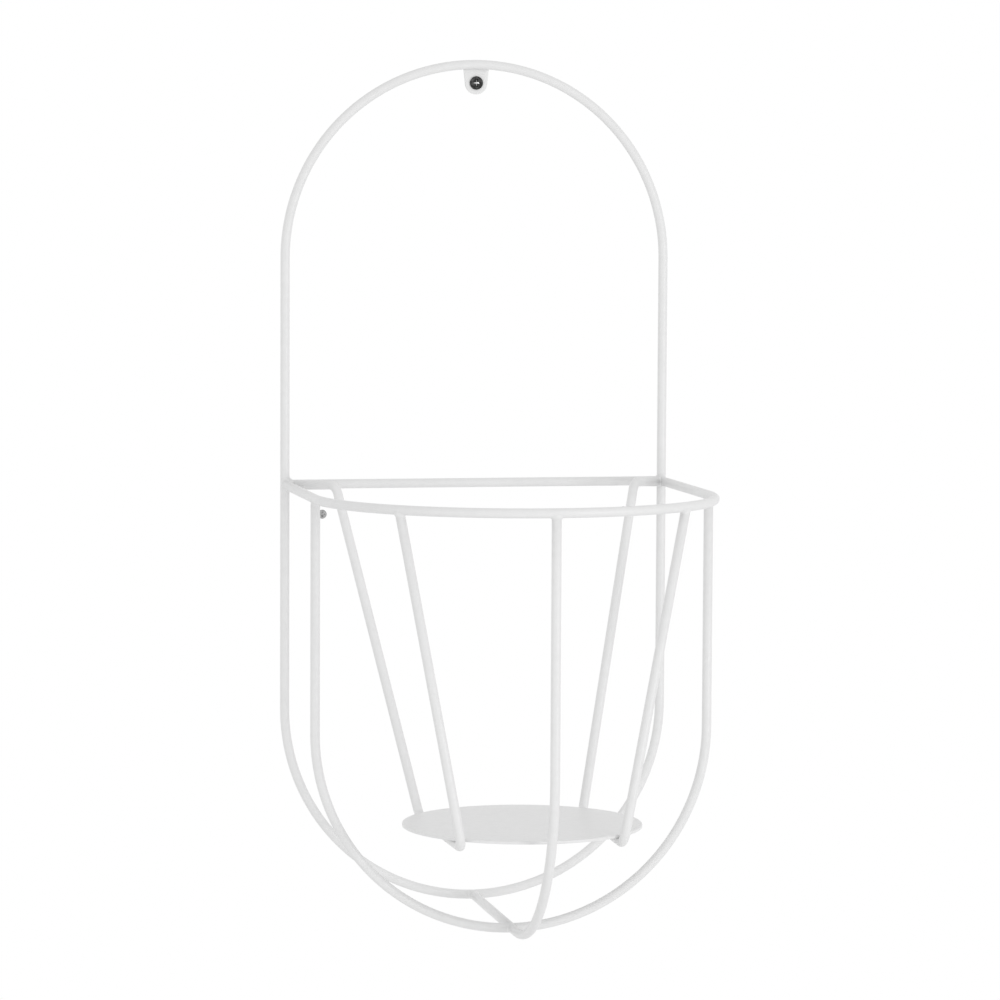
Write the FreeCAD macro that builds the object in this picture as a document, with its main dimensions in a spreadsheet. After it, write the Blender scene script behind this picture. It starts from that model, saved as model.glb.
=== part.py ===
import FreeCAD, Part
import math
import os

import Sketcher

# Wall planter of bent round rod: a closed frame that lies on the wall, a bar across
# it, a U-shaped rim that stands out from it, a second U-shaped hoop that hangs from
# the rim, a front rib and a bottom stay, and two cradle wires that carry a round
# plate for a flower pot.
# Millimetres. X runs across, -Y comes out of the wall, +Z is up. The origin is the
# axis of the top screw on the wall surface.

V = FreeCAD.Vector
OUT = "parts"

SIZES = (
    ("wire_d", 6.5, "diameter of every rod, over its coat"),
    ("half_width", 137, "rod centreline from the middle plane, frame, rim and hoop"),
    ("arch_above_screw", 13, "top screw up to the centreline of the arch"),
    ("arch_start", 160, "rim level up to the start of the arch"),
    ("frame_drop", 160, "rim level down to the start of the frame's bottom bend"),
    ("rim_straight", 137, "straight sides of the rim, from the frame's centreline"),
    ("hoop_depth", 137, "front hoop in front of the frame's centreline"),
    ("hoop_drop", 160, "rim level down to the start of the hoop's bottom bend"),
    ("rib_run", 12, "straight end of the rib, from its bend to the hoop"),
    ("elbow_inset", 29.6, "upper corner of a cradle wire, inside the rim's side"),
    ("elbow_depth", 40.7, "upper corner, in front of the frame's centreline"),
    ("elbow_rise", 2.5, "upper corner above the rim's centreline"),
    ("stub_inset", 5.9, "welded end of a cradle wire, inside the rim's side"),
    ("stub_depth", 10.3, "welded end, in front of the frame's centreline"),
    ("back_foot_x", 57.7, "back foot corner, from the middle"),
    ("back_foot_depth", 100.4, "back foot corner, in front of the centreline"),
    ("front_foot_x", 54.8, "front foot corner, from the middle"),
    ("front_lean", 4, "front foot corner in front of the top of its leg"),
    ("foot_drop", 224.2, "rim level down to the centreline of the foot runs"),
    ("leg_angle", 45, "place of a front leg on the rim's bow, degrees from its front"),
    ("leg_gap", 0.1, "clearance between a front leg's end and the rim"),
    ("cradle_bend", 8, "centreline radius of the small bends"),
    ("plate_d", 163, "diameter of the pot plate"),
    ("plate_thick", 2, "thickness of the pot plate"),
    ("plate_depth", 170.2, "middle of the plate in front of the centreline"),
    ("plate_round", 0.5, "rounding of the plate's edge"),
    ("weld_leg", 1.5, "leg of a weld bead along the rods"),
    ("corner_leg", 3, "leg of the beads of bar and rim on the uprights"),
    ("weld_side", 0.3, "thickness of a bead at the sides of the rods"),
    ("stub_bead", 2, "leg of the bead round the end of a cradle wire"),
    ("tab_thick", 2, "thickness of the hanging tab"),
    ("tab_root", 18, "width of the tab where it meets the arch"),
    ("tab_end", 8, "radius of the tab's round end"),
    ("hole_gap", 0.3, "clearance all round between a screw and its hole"),
    ("top_neck", 4.4, "diameter of the top screw's neck in the tab"),
    ("top_shank", 4, "diameter of the top screw's shank behind the tab"),
    ("top_head", 9.4, "diameter of the top screw's head"),
    ("top_head_rise", 2.8, "height of the top screw's head"),
    ("top_long", 25, "top screw's length behind the wall surface"),
    ("low_shank", 3, "diameter of a lower screw's shank"),
    ("low_head", 6.4, "diameter of a lower screw's head"),
    ("low_head_rise", 2, "height of a lower screw's head"),
    ("low_long", 20, "lower screw's length behind the wall surface"),
    ("low_screw_x", 109.8, "lower screws from the middle"),
    ("low_screw_drop", 21.7, "rim level down to the lower screws"),
    ("slot_share", 0.55, "length of a drive slot over the head's diameter"),
    ("slot_wide", 1, "width of a drive slot"),
    ("slot_deep", 1, "depth of a drive slot in the crown of the head"),
)
SIZE = {alias: float(number) for alias, number, note in SIZES}


def make_sheet(doc):
    sheet = doc.addObject("Spreadsheet::Sheet", "sizes")
    for row, (alias, number, note) in enumerate(SIZES, 1):
        sheet.set("A%d" % row, note)
        sheet.set("B%d" % row, str(number))
        sheet.setAlias("B%d" % row, alias)
    doc.recompute()
    return sheet


def make_body(doc, label, place):
    """An empty body whose frame sits at the given expressions for x, y and z."""
    body = doc.addObject("PartDesign::Body", label)
    body.Label = label
    for axis, expression in zip("xyz", place):
        if expression:
            body.setExpression("Placement.Base." + axis, expression)
    return body


def add_sketch(body, name, role, offset=None):
    sketch = body.newObject("Sketcher::SketchObject", name)
    plane = [f for f in body.Origin.OriginFeatures if f.Role == role][0]
    sketch.AttachmentSupport = [(plane, "")]
    sketch.MapMode = "FlatFace"
    if offset:
        sketch.setExpression("AttachmentOffset.Base.z", offset)
    return sketch


def bind(sketch, constraint, expression):
    index = sketch.addConstraint(constraint)
    sketch.setExpression("Constraints[%d]" % index, expression)


def pin_point(sketch, geometry, point, across=None, along=None):
    """Hold a point of the geometry at two signed distances from the origin."""
    if across:
        datum = Sketcher.Constraint("DistanceX", -1, 1, geometry, point, across[1])
        bind(sketch, datum, across[0])
    if along:
        datum = Sketcher.Constraint("DistanceY", -1, 1, geometry, point, along[1])
        bind(sketch, datum, along[0])


def signed(alias, sign=1):
    """An expression and its number for one of the sizes, with a sign."""
    return ("-" if sign < 0 else "") + "sizes." + alias, sign * SIZE[alias]


def rod_section(body, name, role, across, along=None, offset=None):
    """The round section of a rod as a sketch on one of the origin planes."""
    sketch = add_sketch(body, name, role, offset)
    centre = V(across[1] if across else 0, along[1] if along else 0, 0)
    sketch.addGeometry(Part.Circle(centre, V(0, 0, 1), SIZE["wire_d"] / 2))
    bind(sketch, Sketcher.Constraint("Diameter", 0, SIZE["wire_d"]), "sizes.wire_d")
    if across:
        pin_point(sketch, 0, 3, across=across)
    else:
        sketch.addConstraint(Sketcher.Constraint("PointOnObject", 0, 3, -2))
    if along:
        pin_point(sketch, 0, 3, along=along)
    else:
        sketch.addConstraint(Sketcher.Constraint("PointOnObject", 0, 3, -1))
    return sketch


def sweep(body, name, section, spine):
    pipe = body.newObject("PartDesign::AdditivePipe", name)
    pipe.Profile = section
    edges = ["Edge%d" % (i + 1) for i in range(spine.GeometryCount)]
    pipe.Spine = (spine, edges)
    return pipe


def tangent(sketch, first, first_end, second, second_end):
    sketch.addConstraint(Sketcher.Constraint("Tangent", first, first_end, second, second_end))


def make_wall_frame(doc):
    """Closed frame: two uprights, a half-round arch and a half-round bottom."""
    body = make_body(doc, "wall_frame", (None, "-sizes.wire_d / 2", RIM_LEVEL))
    half, up, down = SIZE["half_width"], SIZE["arch_start"], SIZE["frame_drop"]
    spine = add_sketch(body, "frame_path", "XZ_Plane")
    top = Part.ArcOfCircle(Part.Circle(V(0, up, 0), V(0, 0, 1), half), 0, math.pi)
    low = Part.ArcOfCircle(Part.Circle(V(0, -down, 0), V(0, 0, 1), half), math.pi, 2 * math.pi)
    path = (
        Part.LineSegment(V(half, 0, 0), V(half, up, 0)),
        top,
        Part.LineSegment(V(-half, up, 0), V(-half, -down, 0)),
        low,
        Part.LineSegment(V(half, -down, 0), V(half, 0, 0)),
    )
    spine.addGeometry(list(path))
    for line in (0, 2, 4):
        spine.addConstraint(Sketcher.Constraint("Vertical", line))
    tangent(spine, 0, 2, 1, 1)
    tangent(spine, 1, 2, 2, 1)
    tangent(spine, 2, 2, 3, 1)
    tangent(spine, 3, 2, 4, 1)
    spine.addConstraint(Sketcher.Constraint("Coincident", 4, 2, 0, 1))
    pin_point(spine, 0, 1, across=signed("half_width"))
    spine.addConstraint(Sketcher.Constraint("PointOnObject", 0, 1, -1))
    spine.addConstraint(Sketcher.Constraint("PointOnObject", 1, 3, -2))
    pin_point(spine, 1, 3, along=signed("arch_start"))
    pin_point(spine, 3, 3, along=signed("frame_drop", -1))
    section = rod_section(body, "frame_section", "XY_Plane", signed("half_width"))
    sweep(body, "frame_rod", section, spine)
    return body


def make_back_bar(doc):
    """Straight bar between the uprights, in the frame's own plane."""
    body = make_body(doc, "back_bar", (None, "-sizes.wire_d / 2", RIM_LEVEL))
    section = rod_section(body, "bar_section", "YZ_Plane", None)
    pad = body.newObject("PartDesign::Pad", "bar_rod")
    pad.Profile = section
    pad.SideType = "Symmetric"
    pad.setExpression("Length", "2 * sizes.half_width - sizes.wire_d")
    return body


def u_path(body, name, role, reach):
    """A U: two straight legs down from half a rod below the origin, and a half circle."""
    sketch = add_sketch(body, name, role)
    half, start, end = SIZE["half_width"], -SIZE["wire_d"] / 2, -SIZE[reach]
    bow = Part.ArcOfCircle(Part.Circle(V(0, end, 0), V(0, 0, 1), half), math.pi, 2 * math.pi)
    path = (
        Part.LineSegment(V(half, start, 0), V(half, end, 0)),
        bow,
        Part.LineSegment(V(-half, end, 0), V(-half, start, 0)),
    )
    sketch.addGeometry(list(path))
    for line in (0, 2):
        sketch.addConstraint(Sketcher.Constraint("Vertical", line))
    tangent(sketch, 0, 2, 1, 2)
    tangent(sketch, 2, 1, 1, 1)
    sketch.addConstraint(Sketcher.Constraint("PointOnObject", 1, 3, -2))
    sketch.addConstraint(Sketcher.Constraint("Horizontal", 0, 1, 2, 2))
    pin_point(sketch, 0, 1, signed("half_width"), ("-sizes.wire_d / 2", start))
    pin_point(sketch, 1, 3, along=signed(reach, -1))
    return sketch


def make_rim_hoop(doc):
    """Level U that stands out from the uprights and closes round the front."""
    body = make_body(doc, "rim_hoop", (None, "-sizes.wire_d / 2", RIM_LEVEL))
    spine = u_path(body, "rim_path", "XY_Plane", "rim_straight")
    section = rod_section(
        body, "rim_section", "XZ_Plane", signed("half_width"), offset="sizes.wire_d / 2"
    )
    sweep(body, "rim_rod", section, spine)
    return body


def make_front_hoop(doc):
    """Upright U that hangs from the sides of the rim, parallel to the wall."""
    place = (None, "-sizes.wire_d / 2 - sizes.hoop_depth", RIM_LEVEL)
    body = make_body(doc, "front_hoop", place)
    spine = u_path(body, "hoop_path", "XZ_Plane", "hoop_drop")
    section = rod_section(
        body, "hoop_section", "XY_Plane", signed("half_width"), offset="-sizes.wire_d / 2"
    )
    sweep(body, "hoop_rod", section, spine)
    return body


def make_front_rib(doc):
    """Rib in the middle plane: down from the rim's front, then back to the hoop."""
    body = make_body(doc, "front_rib", (None, "-sizes.wire_d / 2", RIM_LEVEL))
    front = SIZE["rim_straight"] + SIZE["half_width"]
    low = SIZE["hoop_drop"] + SIZE["half_width"]
    start = SIZE["wire_d"] / 2
    stop = SIZE["hoop_depth"] + start
    bend = front - stop - SIZE["rib_run"]
    spine = add_sketch(body, "rib_path", "YZ_Plane")
    centre = V(-front + bend, -low + bend, 0)
    bow = Part.ArcOfCircle(Part.Circle(centre, V(0, 0, 1), bend), math.pi, 1.5 * math.pi)
    path = (
        Part.LineSegment(V(-front, -start, 0), V(-front, -low + bend, 0)),
        bow,
        Part.LineSegment(V(-front + bend, -low, 0), V(-stop, -low, 0)),
    )
    spine.addGeometry(list(path))
    spine.addConstraint(Sketcher.Constraint("Vertical", 0))
    spine.addConstraint(Sketcher.Constraint("Horizontal", 2))
    tangent(spine, 0, 2, 1, 1)
    tangent(spine, 1, 2, 2, 1)
    reach = "-(sizes.rim_straight + sizes.half_width)"
    pin_point(spine, 0, 1, (reach, -front), ("-sizes.wire_d / 2", -start))
    stop_at = "-(sizes.hoop_depth + sizes.wire_d / 2)"
    bend_at = "-(sizes.hoop_depth + sizes.wire_d / 2 + sizes.rib_run)"
    pin_point(spine, 1, 3, across=(bend_at, -stop - SIZE["rib_run"]))
    low_at = "-(sizes.hoop_drop + sizes.half_width)"
    pin_point(spine, 2, 2, (stop_at, -stop), (low_at, -low))
    section = rod_section(
        body, "rib_section", "XY_Plane", None, (reach, -front), "-sizes.wire_d / 2"
    )
    sweep(body, "rib_rod", section, spine)
    return body


def make_bottom_stay(doc):
    """Straight stay from the bottom of the frame to the bottom of the front hoop."""
    body = make_body(doc, "bottom_stay", (None, "-sizes.wire_d", BOTTOM_LEVEL))
    section = rod_section(body, "stay_section", "XZ_Plane", None)
    pad = body.newObject("PartDesign::Pad", "stay_rod")
    pad.Profile = section
    pad.setExpression("Length", "sizes.hoop_depth - sizes.wire_d")
    return body


def bent_path(corners, bend):
    """Straight runs through the corners, joined by tangent arcs of one radius."""
    edges = []
    start = corners[0]
    for before, corner, after in zip(corners, corners[1:], corners[2:]):
        into = (corner - before).normalize()
        out = (after - corner).normalize()
        turn = into.getAngle(out)
        back = bend * math.tan(turn / 2)
        first = corner - into * back
        last = corner + out * back
        inward = (out - into).normalize()
        middle = corner + inward * (bend / math.cos(turn / 2) - bend)
        edges.append(Part.makeLine(start, first))
        edges.append(Part.Arc(first, middle, last).toShape())
        start = last
    edges.append(Part.makeLine(start, corners[-1]))
    return Part.Wire(edges)


def leg_top(side):
    """The point of the rim's centreline over a front leg."""
    turn = math.radians(SIZE["leg_angle"])
    reach = SIZE["rim_straight"] + SIZE["half_width"] * math.cos(turn)
    across = SIZE["half_width"] * math.sin(turn)
    return V(side * across, -SIZE["wire_d"] / 2 - reach, -RIM_DROP)


def cradle_corners(side):
    """Corners of one cradle wire; side is -1 for the left one and +1 for the right."""
    datum = -SIZE["wire_d"] / 2
    level = -RIM_DROP
    low = level - SIZE["foot_drop"]
    top = leg_top(side)
    front_foot = V(side * SIZE["front_foot_x"], top.y - SIZE["front_lean"], low)
    back_foot = V(side * SIZE["back_foot_x"], datum - SIZE["back_foot_depth"], low)
    elbow_x = SIZE["half_width"] - SIZE["elbow_inset"]
    elbow = V(side * elbow_x, datum - SIZE["elbow_depth"], level + SIZE["elbow_rise"])
    stub_x = SIZE["half_width"] - SIZE["stub_inset"]
    stub = V(side * stub_x, datum - SIZE["stub_depth"], level)
    leg = (front_foot - top).normalize()
    slope = math.hypot(leg.x, leg.y)
    trim = (SIZE["wire_d"] / 2 * (1 + slope) + SIZE["leg_gap"]) / -leg.z
    return [stub, elbow, back_foot, front_foot, top + leg * trim]


def make_cradle_wire(doc, label, side):
    """One wire: stub and elbow at the back, foot run under the plate, front leg."""
    corners = cradle_corners(side)
    path = bent_path(corners, SIZE["cradle_bend"])
    heading = corners[1] - corners[0]
    ring = Part.Wire([Part.makeCircle(SIZE["wire_d"] / 2, corners[0], heading)])
    wire = doc.addObject("Part::Feature", label)
    wire.Label = label
    wire.Shape = path.makePipeShell([ring], True, False)
    wire.Placement = FreeCAD.Placement()
    expected = math.pi * (SIZE["wire_d"] / 2) ** 2 * path.Length
    check_close(label, wire.Shape.Volume, expected)
    return wire


def make_pot_plate(doc):
    """Flat round plate that lies on the two foot runs."""
    lift = RIM_LEVEL + " - sizes.foot_drop + sizes.wire_d / 2"
    body = make_body(doc, "pot_plate", (None, "-sizes.wire_d / 2 - sizes.plate_depth", lift))
    sketch = add_sketch(body, "plate_outline", "XY_Plane")
    sketch.addGeometry(Part.Circle(V(0, 0, 0), V(0, 0, 1), SIZE["plate_d"] / 2))
    sketch.addConstraint(Sketcher.Constraint("Coincident", 0, 3, -1, 1))
    bind(sketch, Sketcher.Constraint("Diameter", 0, SIZE["plate_d"]), "sizes.plate_d")
    pad = body.newObject("PartDesign::Pad", "plate_disc")
    pad.Profile = sketch
    pad.setExpression("Length", "sizes.plate_thick")
    doc.recompute()
    rings = []
    for number, edge in enumerate(pad.Shape.Edges, 1):
        if isinstance(edge.Curve, Part.Circle):
            rings.append("Edge%d" % number)
    rounding = body.newObject("PartDesign::Fillet", "plate_rounding")
    rounding.Base = (pad, rings)
    rounding.setExpression("Radius", "sizes.plate_round")
    return body


def make_hanging_tab(doc):
    """Flat tab under the top of the arch, with a round end and one screw hole."""
    body = make_body(doc, "hanging_tab", (None, None, None))
    rod = SIZE["wire_d"] / 2
    nest = math.sqrt(rod ** 2 - (rod - SIZE["tab_thick"]) ** 2)
    top_r = SIZE["half_width"] - nest
    middle = SIZE["arch_above_screw"] - SIZE["half_width"]
    root, end = SIZE["tab_root"] / 2, SIZE["tab_end"]
    top_z = middle + math.sqrt(top_r ** 2 - root ** 2)
    turn = math.asin(root / top_r)
    top = Part.Circle(V(0, middle, 0), V(0, 0, 1), top_r)
    low = Part.Circle(V(0, 0, 0), V(0, 0, 1), end)
    path = (
        Part.ArcOfCircle(top, math.pi / 2 - turn, math.pi / 2 + turn),
        Part.LineSegment(V(-root, top_z, 0), V(-end, 0, 0)),
        Part.ArcOfCircle(low, math.pi, 2 * math.pi),
        Part.LineSegment(V(end, 0, 0), V(root, top_z, 0)),
        Part.Circle(V(0, 0, 0), V(0, 0, 1), SIZE["top_neck"] / 2 + SIZE["hole_gap"]),
    )
    sketch = add_sketch(body, "tab_outline", "XZ_Plane")
    sketch.addGeometry(list(path))
    sketch.addConstraint(Sketcher.Constraint("Coincident", 0, 2, 1, 1))
    sketch.addConstraint(Sketcher.Constraint("Coincident", 3, 2, 0, 1))
    tangent(sketch, 1, 2, 2, 1)
    tangent(sketch, 2, 2, 3, 1)
    sketch.addConstraint(Sketcher.Constraint("Coincident", 2, 3, -1, 1))
    sketch.addConstraint(Sketcher.Constraint("Coincident", 4, 3, -1, 1))
    sketch.addConstraint(Sketcher.Constraint("PointOnObject", 0, 3, -2))
    pin_point(sketch, 0, 3, along=("sizes.arch_above_screw - sizes.half_width", middle))
    nest_text = "sqrt(sizes.tab_thick * (sizes.wire_d - sizes.tab_thick))"
    bind(sketch, Sketcher.Constraint("Radius", 0, top_r), "sizes.half_width - " + nest_text)
    bind(sketch, Sketcher.Constraint("Radius", 2, end), "sizes.tab_end")
    pin_point(sketch, 0, 1, across=("sizes.tab_root / 2", root))
    pin_point(sketch, 0, 2, across=("-sizes.tab_root / 2", -root))
    hole = Sketcher.Constraint("Diameter", 4, SIZE["top_neck"] + 2 * SIZE["hole_gap"])
    bind(sketch, hole, "sizes.top_neck + 2 * sizes.hole_gap")
    pad = body.newObject("PartDesign::Pad", "tab_plate")
    pad.Profile = sketch
    pad.setExpression("Length", "sizes.tab_thick")
    return body


def make_screw(doc, label, kind, place):
    """Pan-head screw along Y: its head's underside is in the body's own XZ plane. A
    screw that goes through the tab has a neck as long as the tab is thick."""
    body = make_body(doc, label, place)
    head, rise = SIZE[kind + "_head"] / 2, SIZE[kind + "_head_rise"]
    shank, reach = SIZE[kind + "_shank"] / 2, SIZE[kind + "_long"]
    head_text = "sizes.%s_head / 2" % kind
    rise_text = "sizes.%s_head_rise" % kind
    shank_text = "sizes.%s_shank" % kind
    reach_text = "sizes.%s_long" % kind
    neck = []
    if kind == "top":
        reach += SIZE["tab_thick"]
        reach_text += " + sizes.tab_thick"
        neck_side = ("sizes.top_neck / 2", SIZE["top_neck"] / 2)
        neck_end = signed("tab_thick")
        neck = [(None, neck_side), (neck_end, neck_side)]
    shank_side = (shank_text + " / 2", shank)
    cylinder_end = ("%s - %s" % (reach_text, shank_text), reach - 2 * shank)
    edge = rise / 3
    outline = [(("-%s / 3" % rise_text, -edge), (head_text, head)), (None, (head_text, head))]
    outline += neck
    outline += [
        (neck[-1][0] if neck else None, shank_side),
        (cylinder_end, shank_side),
        ((reach_text, reach), None),
        (("-" + rise_text, -rise), None),
    ]
    places = [V(a[1] if a else 0, b[1] if b else 0, 0) for a, b in outline]
    sagitta = rise - edge
    crown = (head ** 2 + sagitta ** 2) / (2 * sagitta)
    spread = math.asin(head / crown)
    circle = Part.Circle(V(crown - rise, 0, 0), V(0, 0, 1), crown)
    sketch = add_sketch(body, label + "_profile", "YZ_Plane")
    for before, after in zip(places, places[1:]):
        sketch.addGeometry(Part.LineSegment(before, after))
    last = len(places) - 2
    dome = sketch.addGeometry(Part.ArcOfCircle(circle, math.pi - spread, math.pi))
    for line in range(last):
        sketch.addConstraint(Sketcher.Constraint("Coincident", line, 2, line + 1, 1))
    sketch.addConstraint(Sketcher.Constraint("Coincident", last, 2, dome, 2))
    sketch.addConstraint(Sketcher.Constraint("Coincident", dome, 1, 0, 1))
    sketch.addConstraint(Sketcher.Constraint("PointOnObject", dome, 3, -1))
    for index, (across, along) in enumerate(outline):
        line, point = (index, 1) if index <= last else (last, 2)
        if across is None:
            sketch.addConstraint(Sketcher.Constraint("PointOnObject", line, point, -2))
        if along is None:
            sketch.addConstraint(Sketcher.Constraint("PointOnObject", line, point, -1))
        pin_point(sketch, line, point, across, along)
    turn = body.newObject("PartDesign::Revolution", label + "_turned")
    turn.Profile = sketch
    turn.ReferenceAxis = (sketch, ["H_Axis"])
    turn.Angle = 360
    doc.recompute()
    slots = add_sketch(body, label + "_slots", "XZ_Plane", rise_text)
    long_half = SIZE["slot_share"] * head
    thin_half = SIZE["slot_wide"] / 2
    cross = (
        (-thin_half, long_half), (thin_half, long_half), (thin_half, thin_half),
        (long_half, thin_half), (long_half, -thin_half), (thin_half, -thin_half),
        (thin_half, -long_half), (-thin_half, -long_half), (-thin_half, -thin_half),
        (-long_half, -thin_half), (-long_half, thin_half), (-thin_half, thin_half),
    )
    count = len(cross)
    for index, (a, b) in enumerate(zip(cross, cross[1:] + cross[:1])):
        slots.addGeometry(Part.LineSegment(V(a[0], a[1], 0), V(b[0], b[1], 0)))
    for index in range(count):
        after = (index + 1) % count
        slots.addConstraint(Sketcher.Constraint("Coincident", index, 2, after, 1))
    for index, (a, b) in enumerate(cross):
        texts = []
        for number in (a, b):
            text = "sizes.slot_wide / 2"
            if abs(number) == long_half:
                text = "sizes.slot_share * " + head_text
            texts.append(("-" if number < 0 else "") + text)
        pin_point(slots, index, 1, (texts[0], a), (texts[1], b))
    pocket = body.newObject("PartDesign::Pocket", label + "_drive")
    pocket.Profile = slots
    pocket.setExpression("Length", "sizes.slot_deep")
    doc.recompute()
    if not pocket.Shape.Volume < turn.Shape.Volume - 0.5:
        pocket.Reversed = True
        doc.recompute()
    if not pocket.Shape.Volume < turn.Shape.Volume - 0.5:
        raise ValueError("the drive slots of %s cut nothing" % label)
    return body


def make_lower_screws(doc, screw):
    """The lower screw twice, mirrored about the middle plane, as one group."""
    left = screw.Shape.copy()
    right = left.copy()
    right.translate(V(2 * SIZE["low_screw_x"], 0, 0))
    pair = doc.addObject("Part::Feature", "lower_screws")
    pair.Label = "lower_screws"
    pair.Shape = Part.makeCompound([left, right])
    pair.Placement = FreeCAD.Placement()
    return pair


def bead(at, branch, main, leg):
    """Fillet bead where the end of a branch rod meets a main rod: a cone round the
    branch and a core that fills the notch under its end, kept flat across the main rod.
    At is on the main rod's axis, one rod radius below the branch's end."""
    rod = SIZE["wire_d"] / 2
    skin = SIZE["weld_side"] / 2
    up = V(branch).normalize()
    along = V(main) - up * V(main).dot(up)
    along.normalize()
    sideways = up.cross(along)
    cone = Part.makeCone(rod + leg, rod + skin, leg, at + up * rod, up)
    core = Part.makeCylinder(rod + skin, rod + leg / 2, at, up)
    shape = cone.fuse(core)
    wide = 2 * (rod + SIZE["weld_side"])
    slab = Part.makeBox(4 * rod + 2 * leg, wide, 4 * rod)
    turned = FreeCAD.Matrix()
    corner = at - along * (2 * rod + leg) - sideways * (wide / 2) - up * rod
    for row, axis in enumerate("xyz"):
        for column, vector in enumerate((along, sideways, up, corner)):
            setattr(turned, "A%d%d" % (row + 1, column + 1), getattr(vector, axis))
    slab.Placement = FreeCAD.Placement(turned)
    return shape.common(slab)


def make_welds(doc, label, groups):
    """A group of beads. Each entry is the beads that run together at one place and the
    rods that they lie on; what lies inside the rods or behind the wall surface is cut
    away."""
    solids = []
    span, height = SIZE["half_width"], RIM_DROP + SIZE["frame_drop"] + SIZE["half_width"]
    wall = Part.makeBox(4 * span, span, 2 * height, V(-2 * span, 0, -1.5 * height))
    for beads, rods in groups:
        shape = beads[0]
        if len(beads) > 1:
            shape = shape.fuse(beads[1:])
        shape = shape.cut([rod.Shape for rod in rods] + [wall])
        pieces = [solid for solid in shape.Solids if solid.Volume > 0.5]
        solids.extend(pieces)
    welds = doc.addObject("Part::Feature", label)
    welds.Label = label
    welds.Shape = Part.makeCompound(solids)
    welds.Placement = FreeCAD.Placement()
    return welds


def check_close(label, volume, expected):
    if abs(volume - expected) > 0.002 * expected:
        raise ValueError("%s has volume %.1f, expected %.1f" % (label, volume, expected))


def check_rods(bodies):
    """Each rod's volume against its section times its centreline."""
    area = math.pi * (SIZE["wire_d"] / 2) ** 2
    half, rod = SIZE["half_width"], SIZE["wire_d"] / 2
    bend = SIZE["rim_straight"] + half - SIZE["hoop_depth"] - rod - SIZE["rib_run"]
    rib_down = SIZE["hoop_drop"] + half - rod - bend
    lengths = {
        "wall_frame": 2 * (SIZE["arch_start"] + SIZE["frame_drop"]) + 2 * math.pi * half,
        "back_bar": 2 * (half - rod),
        "rim_hoop": 2 * (SIZE["rim_straight"] - rod) + math.pi * half,
        "front_hoop": 2 * (SIZE["hoop_drop"] - rod) + math.pi * half,
        "front_rib": rib_down + math.pi * bend / 2 + SIZE["rib_run"],
        "bottom_stay": SIZE["hoop_depth"] - 2 * rod,
    }
    for body in bodies:
        check_close(body.Label, body.Shape.Volume, area * lengths[body.Label])


RIM_LEVEL = "sizes.arch_above_screw - sizes.half_width - sizes.arch_start"
BOTTOM_LEVEL = RIM_LEVEL + " - sizes.frame_drop - sizes.half_width"
RIM_DROP = SIZE["arch_start"] + SIZE["half_width"] - SIZE["arch_above_screw"]

os.makedirs(OUT, exist_ok=True)
document = FreeCAD.newDocument("wall_planter")
make_sheet(document)

frame = make_wall_frame(document)
bar = make_back_bar(document)
rim = make_rim_hoop(document)
hoop = make_front_hoop(document)
rib = make_front_rib(document)
stay = make_bottom_stay(document)
left_wire = make_cradle_wire(document, "cradle_wire_left", -1)
right_wire = make_cradle_wire(document, "cradle_wire_right", 1)
plate = make_pot_plate(document)
tab = make_hanging_tab(document)
top_screw = make_screw(document, "top_screw", "top", (None, "-sizes.tab_thick", None))
low_place = ("-sizes.low_screw_x", None, RIM_LEVEL + " - sizes.low_screw_drop")
low_screw = make_screw(document, "lower_screw", "low", low_place)
document.recompute()
lower_screws = make_lower_screws(document, low_screw)
check_rods((frame, bar, rim, hoop, rib, stay))

DATUM = -SIZE["wire_d"] / 2
LEVEL = -RIM_DROP
BOTTOM = LEVEL - SIZE["hoop_drop"] - SIZE["half_width"]
HOOP_Y = DATUM - SIZE["hoop_depth"]
FRONT_Y = DATUM - SIZE["rim_straight"] - SIZE["half_width"]
UP, DOWN, OUTWARD, BACK, ACROSS = V(0, 0, 1), V(0, 0, -1), V(0, -1, 0), V(0, 1, 0), V(1, 0, 0)
LEG = SIZE["weld_leg"]

corners = []
hoop_tops = []
leg_tops = []
for side, wire in ((-1, left_wire), (1, right_wire)):
    post = V(side * SIZE["half_width"], DATUM, LEVEL)
    stub, elbow = cradle_corners(side)[:2]
    heading = (elbow - stub).normalize()
    stub_root = stub - heading * (SIZE["wire_d"] / 2)
    beads = [
        bead(post, ACROSS * -side, UP, SIZE["corner_leg"]),
        bead(post, OUTWARD, UP, SIZE["corner_leg"]),
        bead(stub_root, heading, heading.cross(UP), SIZE["stub_bead"]),
    ]
    corners.append((beads, (frame, bar, rim, wire)))
    shoulder = V(side * SIZE["half_width"], HOOP_Y, LEVEL)
    hoop_tops.append(([bead(shoulder, DOWN, BACK, LEG)], (rim, hoop)))
    on_rim = leg_top(side)
    leg_down = (cradle_corners(side)[3] - on_rim).normalize()
    radial = V(on_rim.x, on_rim.y - DATUM + SIZE["rim_straight"], 0)
    along_rim = radial.cross(UP)
    leg_tops.append(([bead(on_rim, leg_down, along_rim, LEG)], (rim, wire)))

front = V(0, FRONT_Y, LEVEL)
crossing = V(0, HOOP_Y, BOTTOM)
frame_foot = V(0, DATUM, BOTTOM)
low_points = (
    ([bead(crossing, OUTWARD, ACROSS, LEG)], (hoop, rib)),
    ([bead(crossing, BACK, ACROSS, LEG)], (hoop, stay)),
    ([bead(frame_foot, OUTWARD, ACROSS, LEG)], (frame, stay)),
)
corner_welds = make_welds(document, "back_corner_welds", corners)
hoop_welds = make_welds(document, "hoop_welds", hoop_tops)
leg_welds = make_welds(document, "cradle_leg_welds", leg_tops)
rib_weld = make_welds(
    document, "rib_top_weld", [([bead(front, DOWN, ACROSS, LEG)], (rim, rib))]
)
low_welds = make_welds(document, "bottom_welds", low_points)
document.recompute()

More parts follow.
